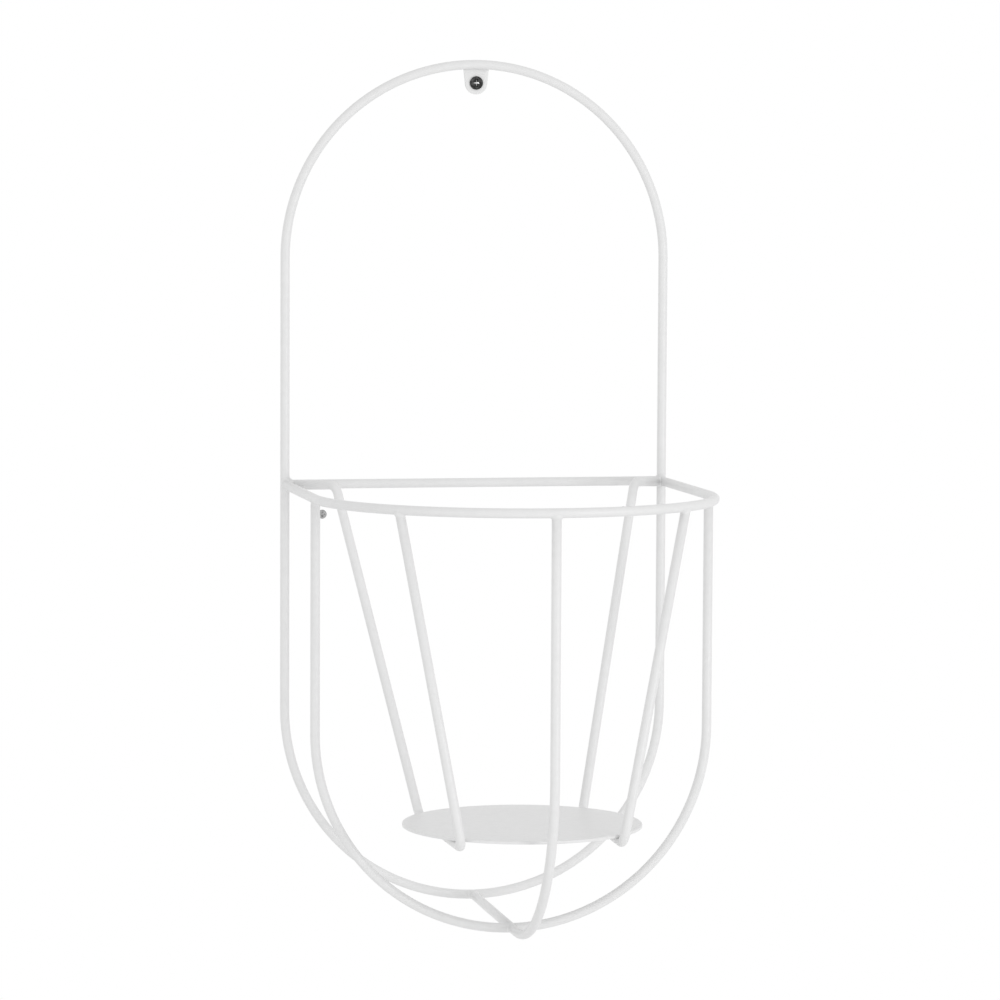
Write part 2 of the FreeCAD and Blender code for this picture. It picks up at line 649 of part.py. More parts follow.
pieces = (
    frame, bar, rim, hoop, rib, stay, left_wire, right_wire, plate, tab, top_screw,
    lower_screws, corner_welds, hoop_welds, leg_welds, rib_weld, low_welds,
)
for item in document.Objects:
    if "Invalid" in item.State or "Error" in item.State:
        raise ValueError("%s did not build" % item.Label)
for piece in pieces:
    if piece.Shape.isNull() or not piece.Shape.isValid() or not piece.Shape.Solids:
        raise ValueError("%s has no valid solid" % piece.Label)
    piece.Shape.exportStep(os.path.join(OUT, piece.Label + ".step"))
    box = piece.Shape.BoundBox
    print(
        "%-20s %2d solids %9.1f mm3  x %.1f..%.1f  y %.1f..%.1f  z %.1f..%.1f"
        % (piece.Label, len(piece.Shape.Solids), piece.Shape.Volume, box.XMin, box.XMax,
           box.YMin, box.YMax, box.ZMin, box.ZMax)
    )
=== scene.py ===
import math

import bpy
import numpy as np
from bpy.props import FloatProperty, FloatVectorProperty, IntProperty, PointerProperty
from mathutils import Matrix


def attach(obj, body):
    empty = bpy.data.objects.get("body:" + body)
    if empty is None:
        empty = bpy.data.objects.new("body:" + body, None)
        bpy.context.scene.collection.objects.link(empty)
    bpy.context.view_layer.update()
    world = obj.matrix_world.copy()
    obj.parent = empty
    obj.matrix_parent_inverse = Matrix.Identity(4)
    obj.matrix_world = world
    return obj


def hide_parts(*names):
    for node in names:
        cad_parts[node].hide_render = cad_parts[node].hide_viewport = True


bl_info = {
    "name": "Wall planter",
    "version": (1, 0, 0),
    "blender": (4, 5, 0),
    "location": "View3D > Sidebar > Planter",
    "description": "Builds a wall planter of bent round rod, with its plate, screws and stage",
    "category": "Add Mesh",
}

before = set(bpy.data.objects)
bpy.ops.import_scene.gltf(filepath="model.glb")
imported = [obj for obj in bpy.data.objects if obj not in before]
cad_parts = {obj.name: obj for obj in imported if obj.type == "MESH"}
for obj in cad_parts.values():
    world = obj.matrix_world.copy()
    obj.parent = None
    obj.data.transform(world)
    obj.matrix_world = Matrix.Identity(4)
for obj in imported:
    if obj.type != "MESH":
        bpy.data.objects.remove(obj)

X, Y, Z = np.eye(3)

# Screws, in metres: head radius and rise, neck radius, shank radius, reach from the
# wall's surface and pitch of the thread.
TOP_SCREW = {"head": 0.0047, "rise": 0.0028, "neck": 0.0022, "shank": 0.002,
             "reach": 0.025, "pitch": 0.0016}
LOW_SCREW = {"head": 0.0032, "rise": 0.002, "neck": 0.0015, "shank": 0.0015,
             "reach": 0.02, "pitch": 0.0012}

# Stage, in metres and watts. The camera was fitted to the photograph.
CAMERA_AT = (-0.5816, -2.92684, -0.06416)
CAMERA_FORWARD = (0.20045, 0.976618, -0.077695)
CAMERA_RIGHT = (0.979647, -0.200667, 0.005077)
CAMERA_LENS, SENSOR = 150.66, 36
LAMPS = (
    ("key", (1.7, -2.6, -0.3), 0.8, 16.5),
    ("fill", (-2.4, -2.0, -0.9), 1.8, 10.0),
)
LAMP_AIM = (0, -0.12, -0.3)
WORLD_LIGHT = 0.83
FLOOR_LEVEL, FLOOR_HALF = -1.3, 60.0
FLOOR_NEAR, FLOOR_FAR, FLOOR_GLOW = 1.4, 3.2, 0.8


def mm(label, default, about):
    """A length property; the default is in millimetres and the value in metres."""
    return FloatProperty(
        name=label, description=about, default=default / 1000, unit="LENGTH", precision=5
    )


# ---------------------------------------------------------------- settings


class PlanterSizes(bpy.types.PropertyGroup):
    """Sizes of the planter, from the same origin as the CAD frame."""

    rod: mm("Rod diameter", 6.5, "Diameter of every rod over its coat")
    half: mm("Half width", 137, "Rod centreline from the middle plane")
    rim_level: mm("Rim level", -284, "Height of the rim's centreline")
    arch: mm("Arch start", 160, "Rim level up to the start of the arch")
    drop: mm("Bend start", 160, "Rim level down to the start of the bottom bends")
    reach: mm("Rim straight", 137, "Straight sides of the rim, and depth of the hoop")
    rib_run: mm("Rib run", 12, "Straight end of the rib before the hoop")
    elbow_x: mm("Elbow across", 107.4, "Upper corner of a cradle wire, across")
    elbow_depth: mm("Elbow depth", 40.7, "Upper corner of a cradle wire, depth")
    elbow_rise: mm("Elbow rise", 2.5, "Upper corner above the rim")
    stub_x: mm("Stub across", 131.1, "Welded end of a cradle wire, across")
    stub_depth: mm("Stub depth", 10.3, "Welded end of a cradle wire, depth")
    back_x: mm("Back foot across", 57.7, "Back foot corner, across")
    back_depth: mm("Back foot depth", 100.4, "Back foot corner, depth")
    front_x: mm("Front foot across", 54.8, "Front foot corner, across")
    front_lean: mm("Front lean", 4, "Front foot corner in front of the leg's top")
    foot_drop: mm("Foot drop", 224.2, "Rim level down to the foot runs")
    bend: mm("Small bend", 8, "Centreline radius of the small bends")
    plate: mm("Plate diameter", 163, "Diameter of the pot plate")
    plate_thick: mm("Plate thickness", 2, "Thickness of the pot plate")
    plate_depth: mm("Plate depth", 170.2, "Middle of the plate, depth")
    plate_round: mm("Plate rounding", 0.5, "Rounding of the plate's edge")
    weld: mm("Weld leg", 1.5, "Leg of a weld bead")
    corner_weld: mm("Corner weld leg", 3, "Leg of the beads of bar and rim on an upright")
    stub_weld: mm("Stub weld leg", 2, "Leg of the bead round a cradle wire's stub")
    weld_side: mm("Weld side", 0.25, "Bead thickness at the sides of a rod")
    tab_thick: mm("Tab thickness", 2, "Thickness of the hanging tab")
    tab_root: mm("Tab root", 18, "Width of the tab at the arch")
    tab_end: mm("Tab end", 8, "Radius of the tab's round end")
    tab_round: mm("Tab rounding", 0.35, "Rounding of the tab's edges")
    arch_rise: mm("Arch over screw", 13, "Top screw up to the arch's centreline")
    low_x: mm("Lower screws across", 109.8, "Lower screws from the middle")
    low_drop: mm("Lower screws drop", 21.7, "Rim level down to the lower screws")
    sides: IntProperty(name="Rod sides", description="Faces round a rod", default=48)


class PlanterColours(bpy.types.PropertyGroup):
    """Colours of the planter and of its stage."""

    coat: FloatVectorProperty(
        name="Coat", description="Powder coat", subtype="COLOR",
        default=(0.80, 0.80, 0.80), min=0, max=1,
    )
    coat_low: FloatVectorProperty(
        name="Coat, low spots", description="Powder coat in its low spots",
        subtype="COLOR", default=(0.78, 0.78, 0.78), min=0, max=1,
    )
    screw: FloatVectorProperty(
        name="Screw", description="Dark plated steel", subtype="COLOR",
        default=(0.037, 0.037, 0.037), min=0, max=1,
    )
    screw_worn: FloatVectorProperty(
        name="Screw, bright", description="Steel where the plating is thin",
        subtype="COLOR", default=(0.11, 0.11, 0.11), min=0, max=1,
    )
    # Colour of the painted highlight in the drive cross of the top screw.
    recess: FloatVectorProperty(
        name="Drive recess", description="Steel that the driver has rubbed bright",
        subtype="COLOR", default=(0.9, 0.9, 0.9), min=0, max=1,
    )
    low_screw: FloatVectorProperty(
        name="Lower screws", description="Bright plated steel", subtype="COLOR",
        default=(0.36, 0.36, 0.36), min=0, max=1,
    )
    low_screw_worn: FloatVectorProperty(
        name="Lower screws, bright", description="Bright steel where it is rubbed",
        subtype="COLOR", default=(0.56, 0.56, 0.56), min=0, max=1,
    )
    floor: FloatVectorProperty(
        name="Floor", description="Pale floor", subtype="COLOR",
        default=(0.9, 0.9, 0.9), min=0, max=1,
    )


# ---------------------------------------------------------------- surfaces


def unit(vector):
    return vector / np.linalg.norm(vector, axis=-1, keepdims=True)


def line(start, end, count=2):
    """Points p = start + t (end - start) for t from 0 to 1, with their headings."""
    t = np.linspace(0, 1, count)[:, None]
    return start + (end - start) * t, np.repeat(unit(end - start)[None], count, 0)


def arc(centre, first, second, radius, begin, end, count):
    """Points p = centre + radius (cos a first + sin a second), with their headings."""
    a = np.linspace(begin, end, count)[:, None]
    points = centre + radius * (np.cos(a) * first + np.sin(a) * second)
    heading = (np.cos(a) * second - np.sin(a) * first) * np.sign(end - begin)
    return points, heading


def joined(*parts):
    """Parts of a path end to end; the point that two parts share is kept once."""
    points = np.concatenate([parts[0][0]] + [p[0][1:] for p in parts[1:]])
    heading = np.concatenate([parts[0][1]] + [p[1][1:] for p in parts[1:]])
    return points, heading


def bent(corners, radius, count=14):
    """Straight runs through the corners, joined by tangent arcs of one radius: the arc
    starts radius tan(turn / 2) before its corner, and its centre lies at a right angle
    to the run, one radius away."""
    parts = []
    start = corners[0]
    for before, corner, after in zip(corners, corners[1:], corners[2:]):
        into, out = unit(corner - before), unit(after - corner)
        turn = math.acos(float(into @ out))
        inward = unit(out - into * (into @ out))
        first = corner - into * radius * math.tan(turn / 2)
        bow = arc(first + inward * radius, -inward, into, radius, 0, turn, count)
        parts += [line(start, first), bow]
        start = bow[0][-1]
    parts.append(line(start, corners[-1]))
    return joined(*parts)


def rod_surface(path, radius, reference, sides, closed=False):
    """Grid over (station, angle): p = centreline + radius (cos a u + sin a v), where u
    lies at a right angle to the heading and to the reference direction, and v at a
    right angle to both. Open ends are rounded over and closed at a pole."""
    points, heading = path
    radii = np.full(len(points), radius)
    if closed:
        points, heading, radii = points[:-1], heading[:-1], radii[:-1]
    else:
        edge = 0.08 * radius
        head, tail = points[0], points[-1]
        inner_head = head + heading[0] * edge
        inner_tail = tail - heading[-1] * edge
        points = np.concatenate(
            [[head, head], [inner_head], points[1:-1], [inner_tail], [tail, tail]]
        )
        ends = np.repeat(heading[:1], 2, 0), np.repeat(heading[-1:], 2, 0)
        heading = np.concatenate([ends[0], heading, ends[1]])
        radii = np.concatenate([[0, radius - edge], radii, [radius - edge, 0]])
    u = unit(np.cross(heading, reference))
    v = np.cross(heading, u)
    a = np.linspace(0, 2 * np.pi, sides, endpoint=False)
    ring = np.cos(a)[None, :, None] * u[:, None] + np.sin(a)[None, :, None] * v[:, None]
    return points[:, None] + radii[:, None, None] * ring, closed


def turned_surface(rows, sides):
    """Grid over (row, angle) of a profile (radius, height) turned about Z."""
    a = np.linspace(0, 2 * np.pi, sides, endpoint=False)
    radius, height = rows[:, :1], rows[:, 1:]
    return np.stack([radius * np.cos(a), radius * np.sin(a), height + 0 * a], -1)


def saddle_surface(at, branch, main, rod, leg, side, end, fill=1.0, around=72, across=10):
    """Bead round the end of a branch rod on a main rod of the same radius, as a closed
    ring over (angle round the branch, place on the bead's section). At each angle the
    branch's side line meets the main rod at t = (-a.c + root((a.c)^2 - c.c (a.a -
    r^2))) / c.c, where a and c are the line's start and direction less their parts
    along the main axis. The bead runs as a hollow quadratic curve from the branch, past
    the branch's end, to the main rod, and returns inside. A fill below 1 leaves part of
    the notch at the branch's end open."""
    b, m = unit(np.asarray(branch, float)), unit(np.asarray(main, float))
    e1 = unit(m - b * (m @ b))
    e2 = np.cross(b, e1)
    angle = np.linspace(0, 2 * np.pi, around, endpoint=False)[:, None]
    out = np.cos(angle) * e1 + np.sin(angle) * e2
    a = rod * out - (rod * out @ m)[:, None] * m
    c = b - m * (b @ m)
    ac = a @ c
    root = np.sqrt(np.maximum(ac ** 2 - (c @ c) * ((a * a).sum(1) - rod ** 2), 0))
    reach = (root - ac) / (c @ c)
    meet = at + rod * out + reach[:, None] * b
    from_axis = meet - at - ((meet - at) @ m)[:, None] * m
    skin = 0.05 * rod
    along = (out @ m)[:, None] * m
    lateral = out - along
    foot = meet + leg * along + side * lateral - skin * unit(from_axis)
    ring = end + leg * (0.4 + 0.6 * np.abs(np.cos(angle[:, 0])))
    ring = np.maximum(ring, reach + 0.6 * leg)
    rise = fill * ring + (1 - fill) * (reach + leg)
    top = at + (rod - skin) * out + rise[:, None] * b
    inside = meet - 0.45 * rod * out - 0.3 * rod * unit(from_axis)
    middle = 0.55 * meet + 0.225 * (foot + top)
    s = np.linspace(0, 1, across)[None, :, None]
    bow = (1 - s) ** 2 * top[:, None] + 2 * s * (1 - s) * middle[:, None]
    bow = bow + s ** 2 * foot[:, None]
    return np.concatenate([bow, inside[:, None]], 1)


def ring_faces(rings, sides, wrap, poles):
    """Quads between neighbouring rings of a grid; a pole's fan is made of triangles.
    The grid's first and last ring are single points where there are poles."""
    j = np.arange(sides)
    k = (j + 1) % sides
    start = np.arange(rings) * sides
    if poles:
        start = np.concatenate([[0], 1 + np.arange(rings - 2) * sides])
        low, high = start[1:-1], start[2:]
    else:
        low, high = (start, np.roll(start, -1)) if wrap else (start[:-1], start[1:])
    quads = np.stack(
        [low[:, None] + j, low[:, None] + k, high[:, None] + k, high[:, None] + j], -1
    ).reshape(-1, 4)
    if not poles:
        return quads, np.zeros((0, 3), int)
    last = 1 + (rings - 2) * sides
    end = start[-1]
    fans = [np.stack([0 * j, 1 + k, 1 + j], -1), np.stack([last + 0 * j, end + j, end + k], -1)]
    return quads, np.concatenate(fans)


def shell(grid, wrap=False):
    """Vertices and faces of one closed surface. A grid that doesn't wrap ends in two
    poles. The faces are turned outward by the sign of the enclosed volume."""
    rings, sides = grid.shape[:2]
    quads, tris = ring_faces(rings, sides, wrap, not wrap)
    points = grid.reshape(-1, 3)
    if not wrap:
        points = np.concatenate([grid[0, :1], grid[1:-1].reshape(-1, 3), grid[-1, :1]])
    p = points[quads[:, :3]]
    q = points[quads[:, [0, 2, 3]]]
    both = np.concatenate([p, q, points[tris]]) - points.mean(0)
    volume = np.einsum("ij,ij->i", both[:, 0], np.cross(both[:, 1], both[:, 2])).sum()
    if volume < 0:
        quads, tris = quads[:, ::-1], tris[:, ::-1]
    return points, quads, tris


def add_piece(name, shells, node, material):
    """One object of closed shells that stands for a CAD node and rides on the body."""
    points, faces, offset = [], [], 0
    for vertices, quads, tris in shells:
        points.append(vertices)
        faces += (quads + offset).tolist() + (tris + offset).tolist()
        offset += len(vertices)
    mesh = bpy.data.meshes.new(name)
    mesh.from_pydata(np.concatenate(points).tolist(), [], faces)
    mesh.polygons.foreach_set("use_smooth", np.ones(len(mesh.polygons), bool))
    mesh.update()
    if mesh.validate():
        raise RuntimeError(name + " has faces that Blender had to repair")
    mesh.materials.append(material)
    piece = bpy.data.objects.new(name, mesh)
    bpy.context.scene.collection.objects.link(piece)
    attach(piece, "root")
    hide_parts(node)
    return piece


# ---------------------------------------------------------------- materials


def add_node(tree, kind, settings=(), **inputs):
    node = tree.nodes.new(kind)
    for key, value in settings:
        setattr(node, key, value)
    for key, value in inputs.items():
        node.inputs[key.replace("_", " ")].default_value = value
    return node


def new_material(name):
    material = bpy.data.materials.new(name)
    material.use_nodes = True
    tree = material.node_tree
    return material, tree, tree.nodes["Principled BSDF"]


def colour_ramp(tree, stops):
    ramp = tree.nodes.new("ShaderNodeValToRGB")
    ramp.color_ramp.elements[0].position = stops[0][0]
    ramp.color_ramp.elements[0].color = (*stops[0][1], 1)
    ramp.color_ramp.elements[1].position = stops[1][0]
    ramp.color_ramp.elements[1].color = (*stops[1][1], 1)
    return ramp


def powder_coat(colours):
    """White powder coat: fine orange peel, faint waves under it and a satin gloss that
    varies a little from place to place."""
    found = bpy.data.materials.get("powder_coat_white")
    if found:
        return found
    material, tree, shader = new_material("powder_coat_white")
    place = tree.nodes.new("ShaderNodeTexCoord")
    peel = add_node(tree, "ShaderNodeTexNoise", Scale=560.0, Detail=2.0, Roughness=0.45)
    waves = add_node(tree, "ShaderNodeTexNoise", Scale=210.0, Detail=2.0, Roughness=0.5)
    for texture in (peel, waves):
        tree.links.new(place.outputs["Object"], texture.inputs["Vector"])
    tint = colour_ramp(tree, ((0.30, colours.coat_low), (0.62, colours.coat)))
    tree.links.new(waves.outputs["Fac"], tint.inputs["Fac"])
    tree.links.new(tint.outputs["Color"], shader.inputs["Base Color"])
    gloss = add_node(tree, "ShaderNodeMapRange")
    gloss.inputs["To Min"].default_value = 0.34
    gloss.inputs["To Max"].default_value = 0.44
    tree.links.new(peel.outputs["Fac"], gloss.inputs["Value"])
    tree.links.new(gloss.outputs["Result"], shader.inputs["Roughness"])
    bump = add_node(tree, "ShaderNodeBump", Strength=0.06, Distance=0.00015)
    tree.links.new(peel.outputs["Fac"], bump.inputs["Height"])
    tree.links.new(bump.outputs["Normal"], shader.inputs["Normal"])
    shader.inputs["Specular IOR Level"].default_value = 0.35
    return material


def screw_steel(name, low, high):
    """Plated steel between two tones, with fine marks and an uneven gloss."""
    material, tree, shader = new_material(name)
    place = tree.nodes.new("ShaderNodeTexCoord")
    wear = add_node(tree, "ShaderNodeTexNoise", Scale=420.0, Detail=3.0, Roughness=0.5)
    marks = add_node(tree, "ShaderNodeTexNoise", Scale=3200.0, Detail=2.0, Roughness=0.5)
    for texture in (wear, marks):
        tree.links.new(place.outputs["Object"], texture.inputs["Vector"])
    tint = colour_ramp(tree, ((0.42, low), (0.72, high)))
    tree.links.new(wear.outputs["Fac"], tint.inputs["Fac"])
    tree.links.new(tint.outputs["Color"], shader.inputs["Base Color"])
    gloss = add_node(tree, "ShaderNodeMapRange")
    gloss.inputs["To Min"].default_value = 0.26
    gloss.inputs["To Max"].default_value = 0.42
    tree.links.new(marks.outputs["Fac"], gloss.inputs["Value"])
    tree.links.new(gloss.outputs["Result"], shader.inputs["Roughness"])
    bump = add_node(tree, "ShaderNodeBump", Strength=0.08, Distance=0.0001)
    tree.links.new(marks.outputs["Fac"], bump.inputs["Height"])
    tree.links.new(bump.outputs["Normal"], shader.inputs["Normal"])
    shader.inputs["Metallic"].default_value = 1.0
    return material


def paint_recess_highlight(material, bright):
    """Paints a highlight into the drive cross of a screw on the frame's origin: the arms' base
    colour is mixed towards a bright colour, the level pair more than the upright one."""
    tree = material.node_tree
    shader = tree.nodes["Principled BSDF"]
    place = tree.nodes.new("ShaderNodeTexCoord")
    axes = tree.nodes.new("ShaderNodeSeparateXYZ")
    tree.links.new(place.outputs["Object"], axes.inputs["Vector"])

    def near_axis(axis, full, none):
        size = add_node(tree, "ShaderNodeMath", [("operation", "ABSOLUTE")])
        tree.links.new(axes.outputs[axis], size.inputs[0])
        ramp = add_node(tree, "ShaderNodeMapRange", [("interpolation_type", "SMOOTHSTEP")])
        ends = (("From Min", full), ("From Max", none), ("To Min", 1), ("To Max", 0))
        for key, value in ends:
            ramp.inputs[key].default_value = value
        tree.links.new(size.outputs["Value"], ramp.inputs["Value"])
        return ramp.outputs["Result"]

    def product(first, second, share):
        part = add_node(tree, "ShaderNodeMath", [("operation", "MULTIPLY")])
        scaled = add_node(tree, "ShaderNodeMath", [("operation", "MULTIPLY")])
        scaled.inputs[1].default_value = share
        tree.links.new(first, part.inputs[0])
        tree.links.new(second, part.inputs[1])
        tree.links.new(part.outputs["Value"], scaled.inputs[0])
        return scaled.outputs["Value"]

    # Painted highlight: masks of the level and upright arms of the cross, mixed into the base
    # colour below.
    level = product(near_axis("Z", 0.0002, 0.0007), near_axis("X", 0.0012, 0.0027), 0.85)
    upright = product(near_axis("X", 0.0002, 0.0006), near_axis("Z", 0.001, 0.0027), 0.35)
    highlight_mask = add_node(tree, "ShaderNodeMath", [("operation", "MAXIMUM")])
    tree.links.new(level, highlight_mask.inputs[0])
    tree.links.new(upright, highlight_mask.inputs[1])
    mix = add_node(tree, "ShaderNodeMix", [("data_type", "RGBA")])
    tint = shader.inputs["Base Color"].links[0].from_socket
    mix_in = [socket for socket in mix.inputs if socket.type == "RGBA"]
    mix_in[1].default_value = (*bright, 1)
    tree.links.new(highlight_mask.outputs["Value"], mix.inputs["Factor"])
    tree.links.new(tint, mix_in[0])
    result = [socket for socket in mix.outputs if socket.type == "RGBA"][0]
    tree.links.new(result, shader.inputs["Base Color"])


# ---------------------------------------------------------------- pieces


def settings():
    scene = bpy.context.scene
    return scene.planter_sizes, scene.planter_colours


def add_rod(name, path, reference, closed=False):
    sizes, colours = settings()
    grid, wrap = rod_surface(path, sizes.rod / 2, reference, sizes.sides, closed)
    return add_piece(name, [shell(grid, wrap)], name.removesuffix("_rod"),
                     powder_coat(colours))


def centre_y(sizes):
    """The plane of the wall frame's centreline, half a rod in front of the wall."""
    return -sizes.rod / 2


class PLANTER_OT_wall_frame(bpy.types.Operator):
    """Closed wall frame: two uprights, a half-round arch and a half-round bottom"""

    bl_idname = "planter.wall_frame"
    bl_label = "Wall frame"

    def execute(self, context):
        s, _ = settings()
        level = Y * centre_y(s) + Z * s.rim_level
        right, left = level + X * s.half, level - X * s.half
        top, low = level + Z * s.arch, level - Z * s.drop
        path = joined(
            line(right, right + Z * s.arch),
            arc(top, X, Z, s.half, 0, math.pi, 121),
            line(left + Z * s.arch, left - Z * s.drop),
            arc(low, X, Z, s.half, math.pi, 2 * math.pi, 121),
            line(right - Z * s.drop, right),
        )
        add_rod("wall_frame_rod", path, Y, closed=True)
        return {"FINISHED"}


class PLANTER_OT_back_bar(bpy.types.Operator):
    """Straight bar between the uprights"""

    bl_idname = "planter.back_bar"
    bl_label = "Back bar"

    def execute(self, context):
        s, _ = settings()
        level = Y * centre_y(s) + Z * s.rim_level
        reach = X * (s.half - s.rod / 2)
        add_rod("back_bar_rod", line(level - reach, level + reach, 6), Z)
        return {"FINISHED"}


def u_path(s, base, down, drop):
    """A U from half a rod past its base: two straight legs and a half circle."""
    start = base + down * s.rod / 2
    low = base + down * drop
    return joined(
        line(start + X * s.half, low + X * s.half),
        arc(low, X, down, s.half, 0, math.pi, 121),
        line(low - X * s.half, start - X * s.half),
    )


class PLANTER_OT_rim_hoop(bpy.types.Operator):
    """Level U that stands out from the uprights and closes round the front"""

    bl_idname = "planter.rim_hoop"
    bl_label = "Rim"

    def execute(self, context):
        s, _ = settings()
        base = Y * centre_y(s) + Z * s.rim_level
        add_rod("rim_hoop_rod", u_path(s, base, -Y, s.reach), Z)
        return {"FINISHED"}


class PLANTER_OT_front_hoop(bpy.types.Operator):
    """Upright U that hangs from the sides of the rim"""

    bl_idname = "planter.front_hoop"
    bl_label = "Front hoop"

    def execute(self, context):
        s, _ = settings()
        base = Y * (centre_y(s) - s.reach) + Z * s.rim_level
        add_rod("front_hoop_rod", u_path(s, base, -Z, s.drop), Y)
        return {"FINISHED"}


class PLANTER_OT_front_rib(bpy.types.Operator):
    """Rib in the middle plane, from the rim's front down and back to the hoop"""

    bl_idname = "planter.front_rib"
    bl_label = "Front rib"

    def execute(self, context):
        s, _ = settings()
        front = Y * (centre_y(s) - s.reach - s.half) + Z * s.rim_level
        stop = Y * (centre_y(s) - s.reach - s.rod / 2)
        bottom = Z * (s.rim_level - s.drop - s.half)
        bend = s.half - s.rod / 2 - s.rib_run
        bend_end = stop - Y * s.rib_run + bottom
        centre = bend_end + Z * bend
        path = joined(
            line(front - Z * s.rod / 2, centre - Y * bend, 4),
            arc(centre, -Y, -Z, bend, 0, math.pi / 2, 71),
            line(bend_end, stop + bottom),
        )
        add_rod("front_rib_rod", path, X)
        return {"FINISHED"}


class PLANTER_OT_bottom_stay(bpy.types.Operator):
    """Straight stay from the frame's bottom to the hoop's bottom"""

    bl_idname = "planter.bottom_stay"
    bl_label = "Bottom stay"

    def execute(self, context):
        s, _ = settings()
        low = Z * (s.rim_level - s.drop - s.half)
        back = Y * (centre_y(s) - s.rod / 2)
        front = Y * (centre_y(s) - s.reach + s.rod / 2)
        add_rod("bottom_stay_rod", line(low + back, low + front, 5), X)
        return {"FINISHED"}


def leg_top(s, side):
    """The point of the rim's centreline over a front leg, 45 degrees round its bow."""
    reach = s.half * math.sqrt(0.5)
    depth = centre_y(s) - s.reach - reach
    return X * side * reach + Y * depth + Z * s.rim_level


def cradle_corners(s, side):
    low = Z * (s.rim_level - s.foot_drop)
    top = leg_top(s, side)
    front = X * side * s.front_x + Y * (top[1] - s.front_lean) + low
    back = X * side * s.back_x + Y * (centre_y(s) - s.back_depth) + low
    elbow = X * side * s.elbow_x + Y * (centre_y(s) - s.elbow_depth)
    elbow = elbow + Z * (s.rim_level + s.elbow_rise)
    stub = X * side * s.stub_x + Y * (centre_y(s) - s.stub_depth) + Z * s.rim_level
    leg = unit(front - top)
    slope = math.hypot(leg[0], leg[1])
    trim = s.rod / 2 * (1 + slope) / -leg[2]
    return [stub, elbow, back, front, top + leg * trim]


class PLANTER_OT_cradle_wires(bpy.types.Operator):
    """Two bent wires: stub and elbow at the back, foot run, and front leg"""

    bl_idname = "planter.cradle_wires"
    bl_label = "Cradle wires"

    def execute(self, context):
        s, _ = settings()
        for side, name in ((-1, "left"), (1, "right")):
            path = bent(cradle_corners(s, side), s.bend)
            add_rod("cradle_wire_%s_rod" % name, path, X)
        return {"FINISHED"}


class PLANTER_OT_pot_plate(bpy.types.Operator):
    """Flat round plate with a softly rounded edge"""

    bl_idname = "planter.pot_plate"
    bl_label = "Pot plate"

    def execute(self, context):
        s, colours = settings()
        radius, thick, soft = s.plate / 2, s.plate_thick, s.plate_round
        a = np.linspace(math.pi / 2, 0, 7)
        upper = np.stack([radius - soft + soft * np.cos(a), thick - soft + soft * np.sin(a)], 1)
        lower = np.stack([upper[::-1, 0], thick - upper[::-1, 1]], 1)
        inner = np.linspace(0, 0.97, 9)[:, None] * (radius - soft)
        top = np.concatenate([inner, np.full((9, 1), thick)], 1)
        bottom = np.concatenate([inner[::-1], np.zeros((9, 1))], 1)
        grid = turned_surface(np.concatenate([top, upper, lower, bottom]), 192)
        lift = s.rim_level - s.foot_drop + s.rod / 2
        grid = grid + Y * (centre_y(s) - s.plate_depth) + Z * lift
        add_piece("pot_plate_disc", [shell(grid)], "pot_plate",
                  powder_coat(colours))
        return {"FINISHED"}


def tab_surface(s, hole=0.0025):
    """Closed ring over (place on the section, angle about the hole). The outline is the
    least distance along each ray: to the arc under the arch, -b + root(b^2 - c^2 + R^2),
    to a leaning side, end / (|cos| cos lean - sin sin lean), or to the round end. The
    section goes round a plate whose four edges are quarter circles."""
    thick, soft = s.tab_thick, s.tab_round
    middle = s.arch_rise - s.half
    arc_radius = s.half - math.sqrt(thick * (s.rod - thick))
    root_height = middle + math.sqrt(arc_radius ** 2 - (s.tab_root / 2) ** 2)
    lean = math.atan2(s.tab_root / 2 - s.tab_end, root_height)
    a = np.linspace(0, 2 * np.pi, 240, endpoint=False)
    c, d = np.cos(a), np.sin(a)
    arc_at = middle * d + np.sqrt((middle * d) ** 2 - middle ** 2 + arc_radius ** 2)
    across = np.abs(c) * math.cos(lean) - d * math.sin(lean)
    side_at = s.tab_end / np.maximum(across, 0.2)
    outline = np.where(d > -math.sin(lean), np.minimum(arc_at, side_at), s.tab_end)
    t = np.linspace(0, math.pi / 2, 5)
    up, over = soft * np.sin(t), soft * np.cos(t)
    outer = np.concatenate([
        np.stack([up - soft, soft - over], 1),
        np.stack([over - soft, thick - soft + up], 1),
    ])
    inner = np.stack([-outer[::-1, 0], outer[::-1, 1]], 1)
    rings = [(outline + grow, depth) for grow, depth in outer]
    rings += [(hole + grow + 0 * a, depth) for grow, depth in inner]
    return np.stack([np.stack([r * c, 0 * a - y, r * d], 1) for r, y in rings])


class PLANTER_OT_hanging_tab(bpy.types.Operator):
    """Flat tab under the arch with a round end and a screw hole"""

    bl_idname = "planter.hanging_tab"
    bl_label = "Hanging tab"

    def execute(self, context):
        s, colours = settings()
        grid = tab_surface(s)
        add_piece("hanging_tab_plate", [shell(grid, True)], "hanging_tab",
                  powder_coat(colours))
        return {"FINISHED"}


